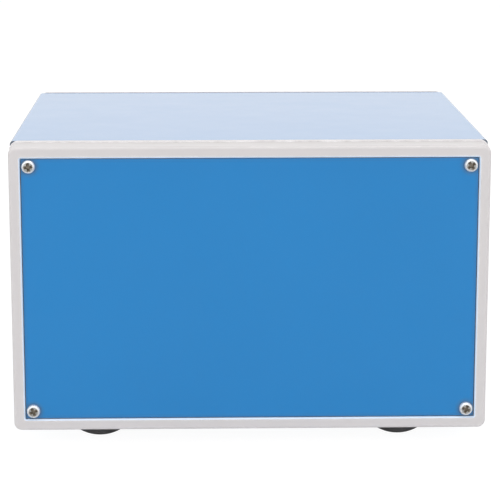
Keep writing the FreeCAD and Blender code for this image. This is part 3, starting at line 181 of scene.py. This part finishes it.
def finish(name, colour, roughness, metallic=0.0, drift=0.05, patch=25.0, relief=0.0, pitch=1.0,
           wear_and_highlight=None, edge_width=0.25, cut=None, bevel_reflection=None, lap_shade=None, nook=None, **constants):
    """A procedural material. Its colour drifts by the share drift over patch mm, and its roughness a
    little over a third of that. relief is the height in mm of bumps pitch mm apart, worn the colour
    of edges over rub mm, which stands for wear on some finishes and is a painted highlight on others,
    cut that of faces square to Y, bevel that of a painted reflection on faces turned in towards the Y
    axis through the object's middle, lap that of a painted shadow line on faces turned back from an end
    towards the middle, and nook that of painted shade in corners against a neighbour. constants are
    the shader's own numbers."""
    made = bpy.data.materials.new(name)
    made.use_nodes = True
    tree = made.node_tree
    nodes, link = tree.nodes, tree.links.new
    shader = nodes["Principled BSDF"]
    shader.inputs["Metallic"].default_value = metallic
    for socket, number in constants.items():
        shader.inputs[socket.replace("_", " ")].default_value = number
    place = nodes.new("ShaderNodeTexCoord").outputs["Object"]

    def spread(value, *ranges, clamp=True):
        """value carried from the range of the first two numbers to that of the last two."""
        mapped = nodes.new("ShaderNodeMapRange")
        mapped.clamp = clamp
        for socket, number in zip(("From Min", "From Max", "To Min", "To Max"), ranges):
            mapped.inputs[socket].default_value = number
        link(value, mapped.inputs["Value"])
        return mapped.outputs["Result"]

    def worked(kind, operation, *values):
        """What an operation makes of its values, each a socket or a plain number or vector."""
        step = nodes.new(kind)
        step.operation = operation
        for socket, value in zip(step.inputs, values):
            if isinstance(value, bpy.types.NodeSocket):
                link(value, socket)
            else:
                socket.default_value = value
        return step.outputs

    def clouds(size, low, high, detail=3.0, clamp=True):
        """Soft noise with patches of size mm, from low to high."""
        noise = nodes.new("ShaderNodeTexNoise")
        noise.inputs["Scale"].default_value = 1 / (size * MM)
        noise.inputs["Detail"].default_value = detail
        link(place, noise.inputs["Vector"])
        return spread(noise.outputs["Fac"], *NOISE_RANGE, low, high, clamp=clamp)

    def painted(under, over, amount):
        """The colour over laid on the colour under by a share of amount."""
        layer = nodes.new("ShaderNodeMix")
        layer.data_type = "RGBA"
        link(amount, layer.inputs["Factor"])
        link(under, layer.inputs[6])
        layer.inputs[7].default_value = (*over, 1)
        return layer.outputs[2]

    def turned_in(axes, reach):
        """How far a face looks to the middle along axes: 0 at the first reach, 1 at the second."""
        middle = (cad_box[0] + cad_box[1]) / 2
        across = worked("ShaderNodeVectorMath", "SUBTRACT", place, middle)["Vector"]
        along = worked("ShaderNodeVectorMath", "MULTIPLY", across, axes)["Vector"]
        inward = worked("ShaderNodeVectorMath", "DOT_PRODUCT", along, flat)["Value"]
        return spread(inward, reach[0] * MM, reach[1] * MM, 0.0, 1.0)

    shade = nodes.new("ShaderNodeHueSaturation")
    shade.inputs["Color"].default_value = (*colour, 1)
    link(clouds(patch, 1 - drift, 1 + drift), shade.inputs["Value"])
    tint = shade.outputs["Color"]
    smooth, rough = roughness * (1 - ROUGHNESS_DRIFT), roughness * (1 + ROUGHNESS_DRIFT)
    link(clouds(patch / 3, smooth, rough, detail=6.0), shader.inputs["Roughness"])
    if wear_and_highlight or cut or bevel_reflection or lap_shade:
        flat = nodes.new("ShaderNodeNewGeometry").outputs["Normal"]
    # Edges take this colour patchily: wear on most finishes, a painted highlight on the pale frames.
    if wear_and_highlight:
        rounded = nodes.new("ShaderNodeBevel")
        rounded.samples = 4
        rounded.inputs["Radius"].default_value = edge_width * MM
        match = worked("ShaderNodeVectorMath", "DOT_PRODUCT", rounded.outputs["Normal"], flat)["Value"]
        edge = spread(match, *EDGE_RANGE, 0.0, 1.0)
        scuffs_and_glints = clouds(SCUFF_AND_GLINT_SIZE, *SCUFF_AND_GLINT_STRENGTH, detail=4.0)
        tint = painted(tint, wear_and_highlight, worked("ShaderNodeMath", "MULTIPLY", edge, scuffs_and_glints)[0])
    if cut:
        facing = nodes.new("ShaderNodeSeparateXYZ")
        link(flat, facing.inputs[0])
        ends = worked("ShaderNodeMath", "ABSOLUTE", facing.outputs["Y"])[0]
        tint = painted(tint, cut, spread(ends, *CUT_RANGE, 0.0, 1.0))
    # Painted reflection: faces turned in towards the middle across Y take this colour.
    if bevel_reflection:
        tint = painted(tint, bevel_reflection, turned_in((1, 0, 1), BEVEL_REFLECTION_RANGE))
    # Painted shadow line: faces turned back along Y towards the middle take this colour.
    if lap_shade:
        tint = painted(tint, lap_shade, turned_in((0, 1, 0), LAP_SHADE_RANGE))
    # Painted shade: corners with little open space within reach take this colour.
    if nook:
        occlusion = nodes.new("ShaderNodeAmbientOcclusion")
        occlusion.samples = 6
        occlusion.inputs["Distance"].default_value = CORNER_SHADE_REACH * MM
        tint = painted(tint, nook, spread(occlusion.outputs["AO"], *CORNER_SHADE_RANGE, 0.0, CORNER_SHADE_STRENGTH))
    link(tint, shader.inputs["Base Color"])
    if relief:
        bumps = nodes.new("ShaderNodeBump")
        bumps.inputs["Distance"].default_value = relief * MM
        link(clouds(pitch, 0.0, 1.0, detail=2.0, clamp=False), bumps.inputs["Height"])
        link(bumps.outputs["Normal"], shader.inputs["Normal"])
        link(bumps.outputs["Normal"], shader.inputs["Coat Normal"])
    return made


def clad(made, *names):
    """Gives each named CAD node its finish."""
    for name in names:
        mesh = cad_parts[name].data
        mesh.materials.clear()
        mesh.materials.append(made)


# The enamel's corner colour is painted shade: greyer blue in corners against a frame, a screw or a nut.
ENAMEL = {"colour": (0.0, 0.197, 0.51), "roughness": 0.32, "drift": 0.012, "patch": 60.0,
          "relief": 0.0006, "pitch": 2.2, "nook": (0.07, 0.12, 0.19),
          "Coat_Weight": 1.0, "Coat_Roughness": 0.1, "Coat_IOR": 1.5}
folded = finish("blue_enamel_folded", **ENAMEL, wear_and_highlight=(0.06, 0.24, 0.5), cut=(0.2, 0.2, 0.21))
clad(folded, "lower_tray")

# ---------------------------------------------------------------- feet
# Four black rubber domes, each with a flat to stand on and a recess for its screw. The rubber is dull
# and a little dusty, and its edges, such as the rim of the flat, are lighter grey, for polish and as a
# painted highlight.
rubber = finish("black_rubber", (0.08, 0.078, 0.078), 0.62, drift=0.15, patch=6.0, relief=0.012, pitch=0.35,
                wear_and_highlight=(0.12, 0.12, 0.12), edge_width=0.3)
clad(rubber, "foot_front_left", "foot_front_right", "foot_rear_left", "foot_rear_right")


# ---------------------------------------------------------------- screws
# M3 pan-head machine screws, cold headed in steel and bright zinc plated. The flat ring round the cross
# recess is painted mid grey and the recess walls dark brown, partly as the driver's wear and residue and
# partly as painted shade. They hold the feet, board, ground tag, frames, panels, XLR flanges and cover.
AROUND = 48


def turned(profile, closed=False):
    """A shape turned about Z from points of radius and height in mm, a hollow ring where closed."""
    shape = bmesh.new()
    points = [shape.verts.new((radius * MM, 0, height * MM)) for radius, height in profile]
    line = [shape.edges.new(pair) for pair in zip(points, points[1:] + points[:1] if closed else points[1:])]
    bmesh.ops.spin(shape, geom=points + line, cent=(0, 0, 0), axis=(0, 0, 1), angle=2 * math.pi,
                   steps=AROUND, use_merge=True)
    bmesh.ops.remove_doubles(shape, verts=shape.verts[:], dist=1e-7)
    return shape


def copies(master, spots):
    """One shape made of a copy of the shape master at each spot."""
    mesh = bpy.data.meshes.new("master")
    master.to_mesh(mesh)
    master.free()
    group = bmesh.new()
    for placing in spots:
        made_before = len(group.verts)
        group.from_mesh(mesh)
        group.verts.ensure_lookup_table()
        bmesh.ops.transform(group, matrix=placing, verts=group.verts[made_before:])
    bpy.data.meshes.remove(mesh)
    return group


CREASE = math.radians(34)


def piece(name, shape, finishes, stands_for=()):
    """Finishes a shape as a piece of the object, in place of the CAD nodes that it stands for."""
    mesh = bpy.data.meshes.new(name)
    bmesh.ops.recalc_face_normals(shape, faces=shape.faces[:])
    for face in shape.faces:
        face.smooth = True
    shape.to_mesh(mesh)
    shape.free()
    mesh.set_sharp_from_angle(angle=CREASE)
    for made in finishes:
        mesh.materials.append(made)
    obj = bpy.data.objects.new(name, mesh)
    scene.collection.objects.link(obj)
    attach(obj, "case")
    if stands_for:
        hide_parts(*stands_for)


HEAD_RADIUS, HEAD_HEIGHT, HEAD_SIDE, HEAD_FOOT, HEAD_UNDERCUT = 2.8, 1.9, 0.5, 0.3, 0.04
SHANK_RADIUS, TIP_RADIUS, TIP_HEIGHT = 1.5, 1.2, 0.3
RIM_RADIUS, RECESS_TIP, RECESS_HALF_WIDTH, RECESS_DEPTH, RECESS_TAPER = 1.95, 1.82, 0.62, 1.35, 0.5
CROWN_STEPS = 6


def pan_screw(length):
    """A screw about Z, its head above z = 0 and its shank below."""
    turns = [math.radians(90 * step / CROWN_STEPS) for step in range(CROWN_STEPS + 1)]
    crown = tuple((RIM_RADIUS + (HEAD_RADIUS - RIM_RADIUS) * math.sin(turn),
                   HEAD_SIDE + (HEAD_HEIGHT - HEAD_SIDE) * math.cos(turn)) for turn in turns)
    side = ((HEAD_RADIUS, HEAD_FOOT), (HEAD_RADIUS - HEAD_UNDERCUT, 0.0))
    shank = ((SHANK_RADIUS, 0.0), (SHANK_RADIUS, TIP_HEIGHT - length), (TIP_RADIUS, -length), (0.0, -length))
    shape = turned(crown + side + shank)
    rim = [edge for edge in shape.edges if edge.is_boundary]
    tip, half = RECESS_TIP, RECESS_HALF_WIDTH
    arm = ((half, half), (half, tip), (-half, tip))
    outline = [Matrix.Rotation(math.radians(90 * turn), 3, "Z") @ Vector((x, y, HEAD_HEIGHT)) * MM
               for turn in range(4) for x, y in arm]
    corners = [shape.verts.new(corner) for corner in outline]
    cross = [shape.edges.new(pair) for pair in zip(corners, corners[1:] + corners[:1])]
    split = bmesh.ops.subdivide_edges(shape, edges=cross, cuts=3)
    cross = [item for item in split["geom"] if isinstance(item, bmesh.types.BMEdge)]
    for face in bmesh.ops.bridge_loops(shape, edges=rim + cross)["faces"]:
        face.material_index = SCREW_FINISHES.index(land_wear_and_shade)
    walls = bmesh.ops.extrude_edge_only(shape, edges=cross)["geom"]
    low = [item for item in walls if isinstance(item, bmesh.types.BMVert)]
    bmesh.ops.scale(shape, vec=(RECESS_TAPER, RECESS_TAPER, 1), verts=low)
    bmesh.ops.translate(shape, vec=(0, 0, -RECESS_DEPTH * MM), verts=low)
    floor_edges = [item for item in walls if isinstance(item, bmesh.types.BMEdge) and item.is_boundary]
    bottom = bmesh.ops.edgeloop_fill(shape, edges=floor_edges)["faces"]
    for face in [item for item in walls if isinstance(item, bmesh.types.BMFace)] + bottom:
        face.material_index = SCREW_FINISHES.index(recess_residue_and_shade)
    return shape


def spot(x, y, z, axis, twist):
    """A place in metres whose Z looks along axis, its piece twisted about it by that many degrees."""
    look = Vector(axis).to_track_quat("Z", "Y").to_matrix().to_4x4()
    return Matrix.Translation((x, y, z)) @ look @ Matrix.Rotation(math.radians(twist), 4, "Z")


zinc = finish("bright_zinc", (0.88, 0.89, 0.9), 0.24, 0.5, drift=0.05, patch=2.0, relief=0.003, pitch=0.25,
              wear_and_highlight=(0.9, 0.9, 0.9), edge_width=0.12)
# The two darker finishes below stand for wear and residue, and also paint the shade of the crown and recess.
land_wear_and_shade = finish("land_wear_and_painted_shade", (0.5, 0.49, 0.46), 0.35, 0.6, drift=0.2, patch=1.0, relief=0.012, pitch=0.25,
              wear_and_highlight=(0.75, 0.75, 0.75), edge_width=0.15)
recess_residue_and_shade = finish("recess_residue_and_painted_shade", (0.3, 0.26, 0.21), 0.4, 0.5, drift=0.35, patch=0.8, relief=0.02, pitch=0.2,
                wear_and_highlight=(0.55, 0.52, 0.48), edge_width=0.1)
SCREW_FINISHES = (zinc, recess_residue_and_shade, land_wear_and_shade)


def screws(name, seats, length):
    """The screws that stand for the CAD node of that name, at seats of place, axis and twist."""
    spots = [spot(*seat) for seat in seats]
    piece(name + "_driven", copies(pan_screw(length), spots), SCREW_FINISHES, (name,))


def four(low, high, inset):
    """The corners of a box in x and y or z, inset by a head's radius."""
    return [(low[0] + inset, low[1] + inset), (high[0] - inset, low[1] + inset),
            (low[0] + inset, high[1] - inset), (high[0] - inset, high[1] - inset)]


# The frame, foot and ground screws are driven up from below. So are half of the board's, into its
# pillars, and the rest go down into them from above. They and the cover's are the ground screw's length.
head_out, head_up = HEAD_RADIUS * MM, HEAD_HEIGHT * MM
UP, DOWN = (0, 0, 1), (0, 0, -1)
for name, twists in (("frame_screws", (10, 55, 80, 30)), ("foot_screws", (70, 15, 40, 5))):
    low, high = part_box(name)
    seats = [(x, y, low.z + head_up, DOWN, twist)
             for (x, y), twist in zip(four(low, high, head_out), twists)]
    screws(name, seats, (high.z - low.z) / MM - HEAD_HEIGHT)
low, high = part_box("ground_screw")
middle = (low + high) / 2
SHORT_LENGTH = (high.z - low.z) / MM - HEAD_HEIGHT
screws("ground_screw", [(middle.x, middle.y, low.z + head_up, DOWN, 25)], SHORT_LENGTH)
low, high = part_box("board_screws")
seats = [(x, y, z, axis, twist + turn)
         for z, axis, turn in ((low.z + head_up, DOWN, 0), (high.z - head_up, UP, 35))
         for (x, y), twist in zip(four(low, high, head_out), (20, 65, 35, 50))]
screws("board_screws", seats, SHORT_LENGTH)
clad(zinc, "cover_clinch_nuts", "tray_nuts", "xlr_nuts", "switch_washers")

# ---------------------------------------------------------------- circuit board
# A glass-epoxy board with green solder mask, screwed to hexagonal pillars that stand on the tray. The
# pillars are turned from brass bar, tapped at both ends and nickel plated.
board = finish("solder_mask", (0.012, 0.09, 0.035), 0.35, drift=0.12, patch=12.0, relief=0.01, pitch=1.2,
               wear_and_highlight=(0.3, 0.33, 0.2), edge_width=0.3, Coat_Weight=0.4, Coat_Roughness=0.2)
clad(board, "circuit_board")
nickel = finish("bright_nickel", (0.76, 0.73, 0.68), 0.2, 1.0, drift=0.05, patch=3.0, relief=0.002, pitch=0.3,
                wear_and_highlight=(0.88, 0.86, 0.82), edge_width=0.15)
clad(nickel, "board_standoffs")

# ---------------------------------------------------------------- transformers
# One for each channel: a bobbin wound with lacquered copper wire round a core of stacked steel
# laminations, under a can drawn from steel sheet that keeps hum out.
clad(finish("drawn_steel", (0.5, 0.5, 0.5), 0.38, 1.0, drift=0.08, patch=8.0, relief=0.004, pitch=0.5,
            wear_and_highlight=(0.62, 0.62, 0.62)), "transformer_can_1", "transformer_can_2")
clad(finish("laminations", (0.12, 0.12, 0.125), 0.55, 0.8, drift=0.25, patch=0.5, relief=0.02, pitch=0.5,
            wear_and_highlight=(0.2, 0.17, 0.14)), "transformer_cores")
clad(finish("wound_copper", (0.42, 0.16, 0.055), 0.3, 0.6, drift=0.2, patch=0.4, relief=0.03, pitch=0.3,
            wear_and_highlight=(0.5, 0.24, 0.1), Coat_Weight=0.6, Coat_Roughness=0.15), "transformer_bobbins")

# ---------------------------------------------------------------- small parts on the board
# Metal-film resistors for the pads, dipped in blue lacquer; film capacitors in red boxes; and the
# white nylon plugs that the wires end in. All are soldered to the board or pushed on its pins.
clad(finish("resistor_lacquer", (0.06, 0.2, 0.4), 0.3, drift=0.1, patch=1.5, relief=0.01, pitch=0.4,
            wear_and_highlight=(0.2, 0.35, 0.5)), "pad_resistors")
clad(finish("capacitor_case", (0.42, 0.03, 0.02), 0.35, drift=0.08, patch=3.0, relief=0.008, pitch=0.4,
            wear_and_highlight=(0.55, 0.12, 0.1)), "film_capacitors")
clad(finish("plug_nylon", (0.68, 0.66, 0.58), 0.5, drift=0.04, patch=5.0, relief=0.008, pitch=0.3,
            wear_and_highlight=(0.76, 0.75, 0.7)), "wire_plugs")

# ---------------------------------------------------------------- wires
# Stranded hook-up wire in a PVC sleeve: grey for channel 1, blue for channel 2, and green for the
# chassis ground. Its crimped ring tag is tinned copper, like jack contacts and switch terminals.
for name, colour in (("channel_1_wires", (0.45, 0.45, 0.43)), ("channel_2_wires", (0.02, 0.07, 0.28)),
                     ("ground_wire", (0.02, 0.2, 0.04))):
    clad(finish(name + "_sleeve", colour, 0.4, drift=0.08, patch=4.0, relief=0.01, pitch=0.6), name)
tinned = finish("tinned_copper", (0.6, 0.6, 0.58), 0.32, 1.0, drift=0.1, patch=1.5, relief=0.005, pitch=0.3,
                wear_and_highlight=(0.6, 0.45, 0.3), edge_width=0.1)
clad(tinned, "ground_tag", "jack_contacts", "switch_terminals")

# ---------------------------------------------------------------- end frames
# Two rings moulded in pale grey ABS, with a ledge for the panel and a lip that the sheet butts against.
# The tool leaves a fine satin grain. The edges are painted lighter as a highlight, the inner chamfer of
# the opening bluish as a painted reflection of the enamel beside it, and the back edge darker as a
# painted shadow line against the sheet.
abs_grey = finish("pale_abs", (0.6, 0.573, 0.573), 0.29, drift=0.012, patch=40.0, relief=0.004, pitch=0.4,
                  wear_and_highlight=(1.0, 0.98, 1.0), edge_width=1.3, bevel_reflection=(0.66, 0.78, 0.93), lap_shade=(0.3, 0.31, 0.36))
clad(abs_grey, "front_frame", "rear_frame")

# ---------------------------------------------------------------- panels
# Front and rear panels are 1.5 mm sheet, sheared, drilled and enamelled like the tray. The rear one
# has a printed outline and number for each channel.
enamel = finish("blue_enamel", **ENAMEL, wear_and_highlight=(0.0, 0.14, 0.36), edge_width=0.5)
clad(enamel, "front_panel", "rear_panel")
rear_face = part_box("rear_panel")[1].y
INK_THICKNESS, LINE_WIDTH = 0.03, 0.45
CHANNEL_HALF_WIDTH, OUTLINE_LOW, OUTLINE_HIGH = 41.0, 26.0, 108.0
DIGIT_HEIGHT, DIGIT_SHARE_OF_SIZE, DIGIT_GAP = 7.0, 0.7, 2.5
ink = finish("printed_white", (0.8, 0.8, 0.79), 0.5, drift=0.04, patch=3.0, relief=0.004, pitch=0.3)
sockets = [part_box(f"xlr_shell_{number}") for number in (1, 2)]
XLR_OFFSET = 23.0
channels = [((low.x + high.x) / 2 + XLR_OFFSET * MM, number) for (low, high), number in zip(sockets, "12")]

# The printing is laid out flat, as it reads from behind the box, and is then stood on the rear panel.
seen_from_behind = Matrix(((-1, 0, 0, 0), (0, 0, 1, 0), (0, 1, 0, 0), (0, 0, 0, 1)))
printing = bmesh.new()
for x, number in channels:
    card = bmesh.ops.create_grid(printing, x_segments=1, y_segments=1, size=0.5)["verts"]
    height = (OUTLINE_HIGH - OUTLINE_LOW) * MM
    bmesh.ops.scale(printing, vec=(2 * CHANNEL_HALF_WIDTH * MM, height, 1), verts=card)
    bmesh.ops.translate(printing, vec=(-x, (OUTLINE_HIGH + OUTLINE_LOW) / 2 * MM, 0), verts=card)
    sheet = card[0].link_faces[0]
    bmesh.ops.inset_individual(printing, faces=[sheet], thickness=LINE_WIDTH * MM)
    bmesh.ops.delete(printing, geom=[sheet], context="FACES_ONLY")
    letter = bpy.data.curves.new("digit", "FONT")
    letter.body = number
    letter.size = DIGIT_HEIGHT * MM / DIGIT_SHARE_OF_SIZE
    letter.align_x = "CENTER"
    typed = bpy.data.objects.new("digit", letter)
    mesh = bpy.data.meshes.new_from_object(typed)
    mesh.transform(Matrix.Translation((-x, (OUTLINE_HIGH + DIGIT_GAP) * MM, 0)))
    printing.from_mesh(mesh)
    bpy.data.objects.remove(typed)
    bpy.data.curves.remove(letter)
    bpy.data.meshes.remove(mesh)
raised = bmesh.ops.extrude_face_region(printing, geom=printing.faces[:])["geom"]
lifted = [item for item in raised if isinstance(item, bmesh.types.BMVert)]
bmesh.ops.translate(printing, vec=(0, 0, INK_THICKNESS * MM), verts=lifted)
bmesh.ops.transform(printing, matrix=Matrix.Translation((0, rear_face, 0)) @ seen_from_behind,
                    verts=printing.verts[:])
piece("channel_printing", printing, (ink,))

# ---------------------------------------------------------------- jacks
# Quarter-inch phone jacks: a black moulded body behind the panel, a threaded nickel-plated bushing
# through it, and a fibre washer and a hexagonal nut in front.
black = finish("black_moulding", (0.025, 0.025, 0.026), 0.5, drift=0.1, patch=5.0, relief=0.01, pitch=0.3,
               wear_and_highlight=(0.06, 0.06, 0.06))
clad(black, "input_jack_1", "input_jack_2", "link_jack_1", "link_jack_2", "jack_washers")


def thread(radius, low, high, pitch, depth):
    """Profile points of a thread's ridges from low to high."""
    count = round((high - low) / pitch)
    step = (high - low) / count
    return tuple(point for turn in range(count)
                 for point in ((radius - depth, low + turn * step), (radius, low + (turn + 0.5) * step)))


SIDES, CHAMFER_PLANES, CHAMFER_SHARE, CHAMFER_SLOPE = 6, 36, 0.485, math.radians(30)


def hex_nut(flats, height, hole):
    """A nut standing on z = 0, its outer face chamfered all round as a turned bar is."""
    shape = bmesh.new()
    outer = bmesh.ops.create_circle(shape, segments=SIDES, radius=flats * MM / math.sqrt(3))["verts"]
    sides = list({edge for vert in outer for edge in vert.link_edges})
    split = bmesh.ops.subdivide_edges(shape, edges=sides, cuts=AROUND // SIDES - 1)["geom"]
    sides = [item for item in split if isinstance(item, bmesh.types.BMEdge)]
    inner = bmesh.ops.create_circle(shape, segments=AROUND, radius=hole * MM)["verts"]
    bore = list({edge for vert in inner for edge in vert.link_edges})
    flat = bmesh.ops.bridge_loops(shape, edges=sides + bore)["faces"]
    raised = bmesh.ops.extrude_face_region(shape, geom=flat)["geom"]
    lifted = [item for item in raised if isinstance(item, bmesh.types.BMVert)]
    bmesh.ops.translate(shape, vec=(0, 0, height * MM), verts=lifted)
    top = Vector((0, 0, height * MM))
    for turn in range(CHAMFER_PLANES):
        angle = 2 * math.pi * turn / CHAMFER_PLANES
        across = Vector((math.cos(angle), math.sin(angle), 0))
        found = bmesh.ops.bisect_plane(
            shape, geom=shape.verts[:] + shape.edges[:] + shape.faces[:], dist=1e-8, clear_outer=True,
            plane_co=across * flats * CHAMFER_SHARE * MM + top,
            plane_no=across * math.sin(CHAMFER_SLOPE) + Vector((0, 0, math.cos(CHAMFER_SLOPE))))["geom_cut"]
        opened = [item for item in found if isinstance(item, bmesh.types.BMEdge) and item.is_boundary]
        if opened:
            bmesh.ops.edgeloop_fill(shape, edges=opened)
    return shape


def row_of(names, level_of):
    """The x of each named node's middle, with the z of the middle of the node level_of."""
    low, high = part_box(level_of)
    boxes = [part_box(name) for name in names]
    return [((box[0].x + box[1].x) / 2, (low.z + high.z) / 2) for box in boxes]


BEHIND = (0, 1, 0)
PANEL, WASHER = 1.5, 0.6
JACK_RADIUS, JACK_BORE, JACK_SHOULDER, SHOULDER_THICKNESS = 4.7, 3.2, 6.4, 3.0
JACK_PROUD, JACK_RUNOUT, JACK_THREAD_FROM, JACK_THREAD_TO, JACK_LEAD = 5.0, 0.6, 0.9, 4.4, 4.75
JACK_THREAD_PITCH, JACK_THREAD_DEPTH = 0.75, 0.38
JACK_CHAMFER, JACK_MOUTH, JACK_THROAT = 0.25, 0.45, 0.1
NUT_ACROSS, NUT_HEIGHT = 12.7, 2.4
jacks_at = row_of(("input_jack_1", "link_jack_1", "input_jack_2", "link_jack_2"), "jack_nuts")
behind_panel = ((JACK_BORE, -PANEL - SHOULDER_THICKNESS), (JACK_SHOULDER, -PANEL - SHOULDER_THICKNESS),
                (JACK_SHOULDER, -PANEL), (JACK_RADIUS, -PANEL), (JACK_RADIUS, JACK_RUNOUT))
ridges = thread(JACK_RADIUS, JACK_THREAD_FROM, JACK_THREAD_TO, JACK_THREAD_PITCH, JACK_THREAD_DEPTH)
mouth = ((JACK_RADIUS - JACK_CHAMFER, JACK_LEAD), (JACK_RADIUS - 2 * JACK_CHAMFER, JACK_PROUD),
         (JACK_BORE + JACK_MOUTH, JACK_PROUD), (JACK_BORE + JACK_THROAT, JACK_LEAD),
         (JACK_BORE, JACK_THREAD_TO))
bushing = turned(behind_panel + ridges + mouth, closed=True)
piece("threaded_jack_bushings", copies(bushing, [spot(x, rear_face, z, BEHIND, 0) for x, z in jacks_at]),
      (nickel,), ("jack_bushings",))
nuts = [spot(x, rear_face + WASHER * MM, z, BEHIND, twist)
        for (x, z), twist in zip(jacks_at, (4, 21, 47, 12))]
piece("chamfered_jack_nuts", copies(hex_nut(NUT_ACROSS, NUT_HEIGHT, JACK_RADIUS), nuts), (nickel,),
      ("jack_nuts",))

# ---------------------------------------------------------------- XLR outputs
# Zinc die castings in satin black, each flange held to the panel by two screws, with a moulded black
# insulator inside that carries three turned brass pins, flashed with gold.
cast = finish("black_casting", (0.032, 0.032, 0.035), 0.42, 0.2, drift=0.08, patch=6.0, relief=0.012,
              pitch=0.35, wear_and_highlight=(0.11, 0.11, 0.115), edge_width=0.3)
clad(cast, "xlr_shell_1", "xlr_shell_2")
clad(black, "xlr_insert_1", "xlr_insert_2")
clad(finish("gold_flash", (0.83, 0.58, 0.2), 0.22, 1.0, drift=0.06, patch=1.5, relief=0.002, pitch=0.2,
            wear_and_highlight=(0.9, 0.7, 0.35), edge_width=0.1), "xlr_pins")
FLANGE, SCREW_ACROSS, SCREW_UP = 2.0, 9.5, 12.0
seats = []
for (low, high), twist in zip(sockets, (15, 60)):
    middle = (low + high) / 2
    for side in (-1, 1):
        x, z = middle.x - side * SCREW_ACROSS * MM, middle.z - side * SCREW_UP * MM
        seats.append((x, rear_face + FLANGE * MM, z, BEHIND, twist + 25 * side))
low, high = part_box("xlr_screws")
screws("xlr_screws", seats, (high.y - low.y) / MM - HEAD_HEIGHT)

# ---------------------------------------------------------------- toggle switches
# Miniature toggles: a red moulded body and lock washer behind the panel, a threaded bushing and a thin
# nut in front, and a bat lever that pivots inside the bushing.
clad(finish("red_moulding", (0.36, 0.012, 0.01), 0.38, drift=0.08, patch=4.0, relief=0.006, pitch=0.3,
            wear_and_highlight=(0.5, 0.08, 0.06)), "pad_switch_1", "pad_switch_2", "lift_switch_1", "lift_switch_2")
SWITCH_RADIUS, SWITCH_BORE, SWITCH_CHAMFER, LOCK_WASHER = 3.0, 2.35, 0.15, 0.8
SWITCH_PROUD, SWITCH_RUNOUT, SWITCH_THREAD_FROM, SWITCH_THREAD_TO, SWITCH_LEAD = 6.5, 0.2, 0.5, 6.0, 6.3
SWITCH_THREAD_PITCH, SWITCH_THREAD_DEPTH = 0.5, 0.24
SWITCH_NUT_ACROSS, SWITCH_NUT_HEIGHT = 8.0, 2.0
switches_at = row_of(("pad_switch_1", "lift_switch_1", "pad_switch_2", "lift_switch_2"), "switch_bushings")
in_panel = ((SWITCH_BORE, -PANEL - LOCK_WASHER), (SWITCH_RADIUS, -PANEL - LOCK_WASHER),
            (SWITCH_RADIUS, SWITCH_RUNOUT))
ridges = thread(SWITCH_RADIUS, SWITCH_THREAD_FROM, SWITCH_THREAD_TO, SWITCH_THREAD_PITCH,
                SWITCH_THREAD_DEPTH)
mouth = ((SWITCH_RADIUS - SWITCH_CHAMFER, SWITCH_LEAD), (SWITCH_RADIUS - 2 * SWITCH_CHAMFER, SWITCH_PROUD),
         (SWITCH_BORE + SWITCH_CHAMFER, SWITCH_PROUD), (SWITCH_BORE, SWITCH_LEAD))
bushing = turned(in_panel + ridges + mouth, closed=True)
piece("threaded_switch_bushings", copies(bushing, [spot(x, rear_face, z, BEHIND, 0) for x, z in switches_at]),
      (nickel,), ("switch_bushings",))
nuts = [spot(x, rear_face, z, BEHIND, twist) for (x, z), twist in zip(switches_at, (8, 33, 50, 19))]
nut = hex_nut(SWITCH_NUT_ACROSS, SWITCH_NUT_HEIGHT, SWITCH_RADIUS)
piece("chamfered_switch_nuts", copies(nut, nuts), (nickel,), ("switch_nuts",))
clad(finish("satin_nickel", (0.84, 0.82, 0.79), 0.34, 0.5, drift=0.05, patch=2.0, relief=0.002, pitch=0.25,
            wear_and_highlight=(0.9, 0.89, 0.86), edge_width=0.12), "pad_lever_1", "pad_lever_2", "lift_lever_1", "lift_lever_2")

# ---------------------------------------------------------------- cover
# The upper half of the case: 1 mm steel folded down over the tray's sides, enamelled like it, and held
# by two screws a side.
clad(folded, "upper_cover")
low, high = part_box("cover_screws")
fore, aft, level = low.y + head_out, high.y - head_out, (low.z + high.z) / 2
seats = [(side * (high.x - head_up), y, level, (side, 0, 0), twist)
         for side, y, twist in ((-1, fore, 12), (-1, aft, 70), (1, fore, 40), (1, aft, 85))]
screws("cover_screws", seats, SHORT_LENGTH)

# ---------------------------------------------------------------- panel screws
# Steel screws, zinc plated like the others, one in each corner of a panel. They are the last to be
# driven, through the panel into the frame's bosses, and each stops at its own angle.
IN_FRONT = (0, -1, 0)
for name, axis, twists in (("front_panel_screws", IN_FRONT, (22, 68, 8, 35)),
                           ("rear_panel_screws", BEHIND, (50, 5, 30, 75))):
    low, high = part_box(name)
    seat = low.y + head_up if axis == IN_FRONT else high.y - head_up
    corners = four((low.x, low.z), (high.x, high.z), head_out)
    screws(name, [(x, seat, z, axis, twist) for (x, z), twist in zip(corners, twists)],
           (high.y - low.y) / MM - HEAD_HEIGHT)
